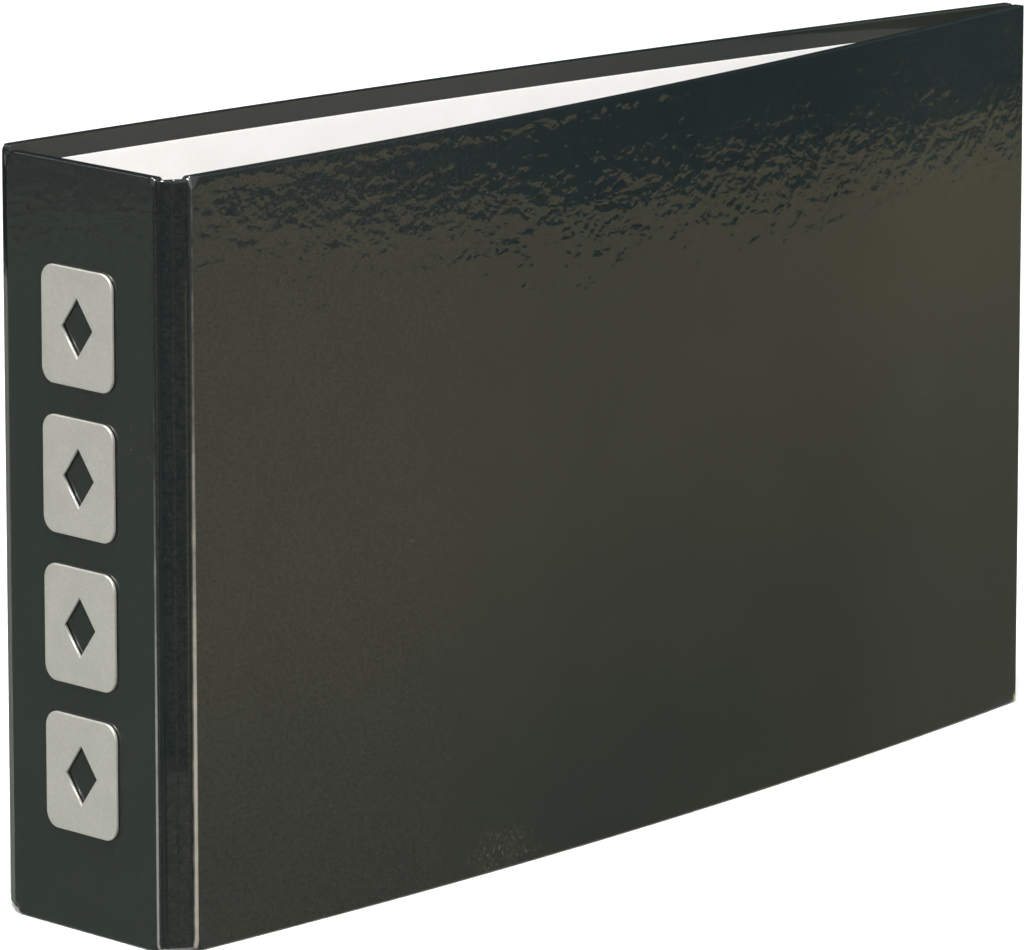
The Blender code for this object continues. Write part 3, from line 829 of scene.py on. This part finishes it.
def make_tile(number):
    """A rounded foil tile with a diamond window and a soft pressed edge."""
    node = "spine_tile_%d" % number
    low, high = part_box(node)
    thickness = high.x - low.x
    width, tall = high.y - low.y, high.z - low.z
    curve = bpy.data.curves.new("tile_outline", "CURVE")
    curve.dimensions = "2D"
    curve.fill_mode = "BOTH"
    curve.extrude = thickness / 2 - TILE_BEVEL
    curve.bevel_depth = TILE_BEVEL
    curve.bevel_resolution = 3
    curve.offset = -TILE_BEVEL
    outline = []
    for quarter in range(4):
        middle = math.radians(45 + 90 * quarter)
        cx = math.copysign(width / 2 - TILE_CORNER, math.cos(middle))
        cy = math.copysign(tall / 2 - TILE_CORNER, math.sin(middle))
        for step in range(11):
            angle = math.radians(90 * quarter + 9 * step)
            outline.append((cx + TILE_CORNER * math.cos(angle), cy + TILE_CORNER * math.sin(angle)))
    window = [(WINDOW_HALF_WIDTH, 0), (0, WINDOW_HALF_HEIGHT), (-WINDOW_HALF_WIDTH, 0),
              (0, -WINDOW_HALF_HEIGHT)]
    for places in (outline, window):
        spline = curve.splines.new("POLY")
        spline.points.add(len(places) - 1)
        for point, place in zip(spline.points, places):
            point.co = (*place, 0.0, 1.0)
        spline.use_cyclic_u = True
    holder = bpy.data.objects.new("tile_outline", curve)
    bpy.context.scene.collection.objects.link(holder)
    bpy.context.view_layer.update()
    evaluated = holder.evaluated_get(bpy.context.evaluated_depsgraph_get())
    mesh = bpy.data.meshes.new_from_object(evaluated)
    bpy.data.objects.remove(holder)
    bm = bmesh.new()
    bm.from_mesh(mesh)
    bmesh.ops.remove_doubles(bm, verts=bm.verts, dist=1e-6)
    upright = Matrix.Rotation(math.radians(-90), 4, "Z") @ Matrix.Rotation(math.radians(90), 4, "X")
    turn = Matrix.Translation((low + high) / 2) @ upright
    bmesh.ops.transform(bm, matrix=turn, verts=bm.verts)
    bm.to_mesh(mesh)
    bm.free()
    mesh.name = "foil_tile_%d" % number
    mesh.materials.clear()
    mesh.materials.append(FOIL)
    mesh.shade_smooth()
    tile = bpy.data.objects.new("foil_tile_%d" % number, mesh)
    bpy.context.scene.collection.objects.link(tile)
    weight_normals(tile)
    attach(tile, "spine")
    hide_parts(node)


for tile_number in range(1, 5):
    make_tile(tile_number)


# ---- ring mechanism

left_axis, right_axis = joint_place("ring_left_swing"), joint_place("ring_right_swing")
ACROSS = (right_axis - left_axis).normalized()
LIFT = Vector((ACROSS.y, -ACROSS.x, 0))
BASE = (left_axis + right_axis) / 2 - LIFT * BLADE_PIVOT_LIFT


def on_mechanism(across, lift, down):
    return BASE + ACROSS * across + LIFT * lift - Vector((0, 0, down))


def make_tube(name, centres, radii, sides, material, body, node):
    """A round bar through the given centres, with the given radii, closed at both ends."""
    centres = [Vector(centre) for centre in centres]
    points = []
    for index, (centre, radius) in enumerate(zip(centres, radii)):
        before = centres[max(index - 1, 0)]
        after = centres[min(index + 1, len(centres) - 1)]
        if (after - before).length < 1e-9:
            after = centre + tangent
        tangent = (after - before).normalized()
        sideways = Vector((0, 0, 1))
        other = tangent.cross(sideways).normalized()
        for side in range(sides):
            angle = 2 * math.pi * side / sides
            points.append(centre + (sideways * math.cos(angle) + other * math.sin(angle)) * radius)
    faces = []
    for ring in range(len(centres) - 1):
        for side in range(sides):
            first, second = ring * sides + side, ring * sides + (side + 1) % sides
            faces.append([first, second, second + sides, first + sides])
    faces.append(list(range(sides))[::-1])
    last = (len(centres) - 1) * sides
    faces.append([last + side for side in range(sides)])
    piece = make_piece(name, points, faces, material, body)
    weight_normals(piece)
    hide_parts(node)


def make_half_ring(hand, word, row, row_word):
    """Half a ring of round wire with a chamfered tip: a pin on the left, its socket on the right."""
    tip = math.pi / 2 - hand * RING_JOIN_GAP / RING_RADIUS
    foot = math.atan2(-math.sqrt(RING_RADIUS ** 2 - RING_FOOT_ACROSS ** 2), RING_FOOT_ACROSS)
    if hand < 0:
        foot = math.pi - foot
    sweep = foot - tip

    def at(distance):
        angle = tip + math.copysign(distance / RING_RADIUS, sweep)
        return on_mechanism(RING_RADIUS * math.cos(angle), RING_CENTRE_LIFT + RING_RADIUS * math.sin(angle),
                            row * RING_PITCH / 2)

    # Profiles are pairs of distance along the wire, from the join, and radius there
    run = abs(sweep) * RING_RADIUS
    body_part = [(RING_CHAMFER + (run - RING_CHAMFER) * step / 56, RING_WIRE) for step in range(57)]
    if hand < 0:
        nose = [(-0.0013, 0.0002), (-0.00115, 0.00042), (-0.0008, 0.00055), (0.0, 0.00056), (0.00001, 0.0010),
                (0.00012, 0.00122)]
    else:
        nose = [(0.0016, 0.0005), (0.00002, 0.00064), (0.0, 0.0010), (0.00012, 0.00122)]
    profile = nose + body_part
    make_tube(f"ring_{word}_{row_word}", [at(distance) for distance, _ in profile],
              [radius for _, radius in profile], 28, NICKEL, "ring_" + word,
              f"half_ring_{word}_{row_word}")


for ring_hand, ring_word in ((-1, "left"), (1, "right")):
    make_half_ring(ring_hand, ring_word, -1, "upper")
    make_half_ring(ring_hand, ring_word, 1, "lower")


def make_housing():
    """Arched cover plate with open ring notches, a pressed bead along it and rounded ends."""
    half = HOUSING_LENGTH / 2
    notch = [row * RING_PITCH / 2 + side * NOTCH_HALF_HEIGHT for row in (-1, 1) for side in (-1, 1)]
    down = fill(sorted([-half, half] + notch), HOUSING_STEP)
    across = sorted({round(side * value, 7) for side in (-1, 1)
                     for value in (0, 0.0005, 0.001, 0.0014, 0.0018, 0.0024, 0.0032, NOTCH_INNER, 0.0052,
                                   0.0062, 0.0072, 0.0082, 0.009, 0.0095, HOUSING_HALF_WIDTH)})
    points = []
    for position in down:
        end_gap = np.float64(half - abs(position))
        narrow = 1 - 0.22 * float(1 - smoothstep(0.0, 0.0045, end_gap)) ** 2
        lower = 1 - 0.12 * float(1 - smoothstep(0.0, 0.005, end_gap))
        bead_here = BEAD_DEPTH * float(smoothstep(0.0125, 0.017, end_gap))
        notch_gap = min(abs(position - row * RING_PITCH / 2) for row in (-1, 1))
        rib_here = RIB_DEPTH * math.exp(-((notch_gap - RIB_OFFSET) / RIB_HALF_WIDTH) ** 2)
        for place in across:
            rise = HOUSING_RISE * (1 - (place / HOUSING_HALF_WIDTH) ** 2) * lower
            bead = bead_here * math.exp(-(place / BEAD_HALF_WIDTH) ** 2)
            rib = rib_here * math.exp(-(place / 0.006) ** 4)
            points.append(on_mechanism(place * narrow, HOUSING_FOOT + rise - bead - rib, position))
    columns = len(across)
    faces = []
    for row in range(len(down) - 1):
        middle_down = (down[row] + down[row + 1]) / 2
        in_notch_row = min(abs(middle_down - side * RING_PITCH / 2) for side in (-1, 1)) < NOTCH_HALF_HEIGHT
        for column in range(columns - 1):
            if in_notch_row and abs(across[column] + across[column + 1]) / 2 > NOTCH_INNER:
                continue
            first = row * columns + column
            faces.append([first, first + columns, first + columns + 1, first + 1])
    housing = make_piece("ring_housing_plate", points, faces, NICKEL, "back_cover")
    bm = bmesh.new()
    bm.from_mesh(housing.data)
    loose = [vert for vert in bm.verts if not vert.link_faces]
    bmesh.ops.delete(bm, geom=loose, context="VERTS")
    bm.normal_update()
    crown = on_mechanism(0, HOUSING_RISE, 0)
    middle = min(bm.faces, key=lambda face: (face.calc_center_median() - crown).length)
    if middle.normal.dot(LIFT) < 0:
        bmesh.ops.reverse_faces(bm, faces=bm.faces)
    bm.to_mesh(housing.data)
    bm.free()
    solid = housing.modifiers.new("sheet", "SOLIDIFY")
    solid.thickness = HOUSING_SHEET
    solid.offset = -1.0
    rounding = housing.modifiers.new("edges", "BEVEL")
    rounding.width = 0.00012
    rounding.segments = 2
    rounding.limit_method = "ANGLE"
    rounding.angle_limit = math.radians(50)
    weight_normals(housing)
    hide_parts("ring_housing")


make_housing()


def make_rivet(word, row):
    """Domed rivet through the plate and the cover, with a rolled rim on each head."""
    crown = HOUSING_FOOT + HOUSING_RISE + RIVET_CLEAR
    skin = -PANEL_DEPTH - RIVET_CLEAR
    profile = [(0.0, crown + RIVET_RIM + RIVET_DOME)]
    for step in range(1, 11):
        angle = math.radians(9 * step)
        profile.append((RIVET_HEAD * math.sin(angle), crown + RIVET_RIM + RIVET_DOME * math.cos(angle)))
    profile += [(0.0035, crown + 0.00005), (0.0032, crown), (RIVET_SHANK, crown), (RIVET_SHANK, skin),
                (0.0045, skin), (0.0049, skin - 0.00006)]
    for step in range(0, 10):
        angle = math.radians(90 - 9 * step)
        profile.append((RIVET_TAIL * math.sin(angle), skin - RIVET_RIM - RIVET_DOME * math.cos(angle)))
    profile.append((0.0, skin - RIVET_RIM - RIVET_DOME))
    steps = 48
    points = [on_mechanism(0, profile[0][1], row * RIVET_PITCH / 2)]
    rings = profile[1:-1]
    for radius, lift in rings:
        for step in range(steps):
            angle = 2 * math.pi * step / steps
            points.append(on_mechanism(radius * math.cos(angle), lift,
                                       row * RIVET_PITCH / 2 + radius * math.sin(angle)))
    points.append(on_mechanism(0, profile[-1][1], row * RIVET_PITCH / 2))
    faces = []
    for step in range(steps):
        following = (step + 1) % steps
        faces.append([0, 1 + following, 1 + step])
        for ring in range(len(rings) - 1):
            base = 1 + ring * steps
            faces.append([base + step, base + following, base + steps + following, base + steps + step])
        base = 1 + (len(rings) - 1) * steps
        faces.append([base + step, base + following, len(points) - 1])
    rivet = make_piece("rivet_%s_turned" % word, points, faces, RIVET, "back_cover")
    bm = bmesh.new()
    bm.from_mesh(rivet.data)
    bmesh.ops.recalc_face_normals(bm, faces=bm.faces)
    bm.to_mesh(rivet.data)
    bm.free()
    weight_normals(rivet)
    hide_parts("rivet_" + word)


make_rivet("upper", -1)
make_rivet("lower", 1)

for blade in ("ring_blade_left", "ring_blade_right"):
    for place in frame["nodes"][blade].material_slots:
        place.material = NICKEL


# ---- floor, lights and camera

def stage_face(name, corners, material):
    """One face of the surroundings: the floor, or a card or wall for the gloss to show."""
    mesh = bpy.data.meshes.new(name)
    mesh.from_pydata(corners, [], [tuple(range(len(corners)))])
    mesh.materials.append(material)
    face = bpy.data.objects.new(name, mesh)
    bpy.context.scene.collection.objects.link(face)
    return face


def level(corners, height):
    return [(x, y, height) for x, y in corners]


def only_in_gloss(item):
    item.visible_camera = False
    item.visible_diffuse = False
    item.visible_shadow = False
    item.visible_transmission = False
    item.visible_volume_scatter = False


def glow(name, colour, strength, painted_shadow_fade=None):
    """A lit card. Its last argument, (least, near, far), dims it towards the near line along Y: a painted
    shadow of the binder on the table.
    """
    shader = Shader(name)
    tree = shader.tree
    emission = tree.nodes.new("ShaderNodeEmission")
    emission.inputs["Color"].default_value = (*colour, 1.0)
    emission.inputs["Strength"].default_value = strength
    if painted_shadow_fade:
        least, near, far = painted_shadow_fade
        part = shader.ramp(shader.split(shader.local())[1], far, near, 1.0, least)
        shader.put(emission.inputs["Strength"], shader.math("MULTIPLY", part, strength))
    tree.nodes.remove(shader.surface)
    tree.links.new(emission.outputs["Emission"], tree.nodes["Material Output"].inputs["Surface"])
    return shader.material


FLOOR_REACH = 30.0
FLOOR_DROP = 0.0003
floor_shader = Shader("pale_floor")
floor_cloud = floor_shader.noise(floor_shader.local(), 3.0, 3.0)
floor_tone = floor_shader.mix(floor_cloud, (0.90, 0.90, 0.90), (0.92, 0.92, 0.915))
floor_material = floor_shader.finish(Base_Color=floor_tone, Roughness=0.8, Specular_IOR_Level=0.1)
floor_corners = [(x * FLOOR_REACH, y * FLOOR_REACH) for x, y in ((-1, -1), (1, -1), (1, 1), (-1, 1))]
stage_face("floor", level(floor_corners, -FLOOR_DROP), floor_material)

# The table as the gloss sees it: lit near the binder, dark past its edge
# Painted shadow: the warm table card dims towards the binder's foot
TABLE_WARM = glow("table_warm", (1.0, 0.79, 0.40), 0.56, (0.53, -0.02, -0.24))
TABLE_COOL = glow("table_cool", (0.84, 1.0, 0.73), 0.315)
TABLE_PLAIN = glow("table_plain", (0.95, 1.0, 0.88), 0.34)
TABLE_SHADE = glow("table_shade", (0.95, 1.0, 0.82), 0.16)
TABLE_DIM = glow("table_dim", (1.0, 0.87, 0.62), 0.31)
ROOM_DARK = glow("room_dark", (0.9, 1.0, 1.0), 0.015)
LAMP = glow("lamp", (1.0, 0.99, 0.97), 110.0)
ring_of_table = [(0.66 * math.cos(math.radians(angle)), 0.62 * math.sin(math.radians(angle)))
                 for angle in range(0, 360, 15)]
TABLE_EDGE = [(1.10, 0.02), (0.777, -0.212), (0.54, -0.385), (0.432, -0.50), (0.43, -0.62)]
cards = (
    ("room_all_round", [(-9, -9), (9, -9), (9, 9), (-9, 9)], -0.00025, ROOM_DARK),
    ("table_all_round", ring_of_table, -0.0002, TABLE_PLAIN),
    ("table_front", [(-0.118, -0.024), (0.127, 0.003), (0.60, 0.02), *TABLE_EDGE, (-0.10, -0.66)],
     -0.0001, TABLE_WARM),
    ("room_front", [(-0.10, -0.66), *reversed(TABLE_EDGE), (3.0, 0.5), (3.0, -3.4), (-3.0, -3.4),
                    (-3.0, -0.3), (-0.5, -0.07), (-0.1275, -0.030), (-0.118, -0.024)],
     -0.00015, ROOM_DARK),
    ("table_strip", [(-0.127, -0.024), (-0.112, -0.028), (-0.09, -0.15), (-0.22, -0.15)],
     -0.00005, TABLE_DIM),
    ("table_spine", [(-0.124, -0.022), (-0.124, 0.022), (-0.34, 0.86), (-1.0, 0.53), (-0.9, -0.05)],
     -0.0001, TABLE_COOL),
    ("table_spine_far", [(-0.345, 0.785), (-0.87, 0.325), (-1.15, 0.63), (-0.60, 1.10)],
     -0.00005, TABLE_SHADE),
)
for card_name, card_corners, card_height, card_material in cards:
    only_in_gloss(stage_face(card_name, level(card_corners, card_height), card_material))

# Dark walls on the far sides and a small bright lamp above, both seen only in the gloss
WALL_TOP = 5.2
LAMP_HEIGHT = 1.4
wall_line = ((-2.6, 3.2), (0.9, 3.2), (3.2, 0.9), (3.2, -2.6))
for wall_number, (foot, next_foot) in enumerate(zip(wall_line, wall_line[1:])):
    wall_corners = level((foot, next_foot), 0.0) + level((next_foot, foot), WALL_TOP)
    only_in_gloss(stage_face("dark_wall_%d" % wall_number, wall_corners, ROOM_DARK))
lamp_corners = level([(-0.85, -0.45), (-0.25, -0.45), (-0.25, 0.15), (-0.85, 0.15)], LAMP_HEIGHT)
only_in_gloss(stage_face("lamp_above", lamp_corners, LAMP))

world = bpy.data.worlds.new("pale_room")
bpy.context.scene.world = world
world.use_nodes = True
sky = world.node_tree.nodes["Background"]
sky.inputs["Color"].default_value = (0.96, 0.98, 1.0, 1.0)
sky.inputs["Strength"].default_value = 0.84


def area_light(name, place, target, width, height, power, colour):
    data = bpy.data.lights.new(name, "AREA")
    data.shape = "RECTANGLE"
    data.size = width
    data.size_y = height
    data.energy = power
    data.color = colour
    light = bpy.data.objects.new(name, data)
    light.location = place
    light.rotation_mode = "QUATERNION"
    light.rotation_quaternion = (Vector(target) - Vector(place)).to_track_quat("-Z", "Y")
    bpy.context.scene.collection.objects.link(light)


area_light("key_overhead", (-0.35, -0.25, 1.7), (0.0, 0.0, 0.05), 0.42, 0.42, 32.0, (1.0, 0.985, 0.96))
area_light("window_right", (1.35, 0.02, 0.92), (0.08, 0.0, 0.1), 0.12, 0.35, 0.2, (0.78, 0.90, 1.0))
area_light("window_rear", (-0.55, 1.23, 1.15), (-0.125, 0.0, 0.14), 0.5, 0.06, 1.6, (0.80, 0.90, 1.0))
area_light("soft_front", (-1.6, -1.9, 1.9), (0.0, 0.0, 0.05), 1.6, 1.6, 20.0, (1.0, 0.99, 0.97))

# The camera that was fitted to the outline in the photograph
CAMERA_LENS = 315.914
CAMERA_PLACE = (-1.1496185, -1.1841198, 0.4169678)
CAMERA_AIM = Vector((0.67577, 0.70702, -0.20846))
camera_data = bpy.data.cameras.new("camera")
camera_data.lens = CAMERA_LENS
camera_data.sensor_width = 36.0
camera_data.sensor_fit = "HORIZONTAL"
camera_data.clip_start = 0.05
camera_data.clip_end = 200.0
camera = bpy.data.objects.new("camera", camera_data)
camera.location = CAMERA_PLACE
camera.rotation_mode = "QUATERNION"
camera.rotation_quaternion = CAMERA_AIM.normalized().to_track_quat("-Z", "Y")
bpy.context.scene.collection.objects.link(camera)
bpy.context.scene.camera = camera
bpy.context.scene.view_settings.view_transform = "Standard"
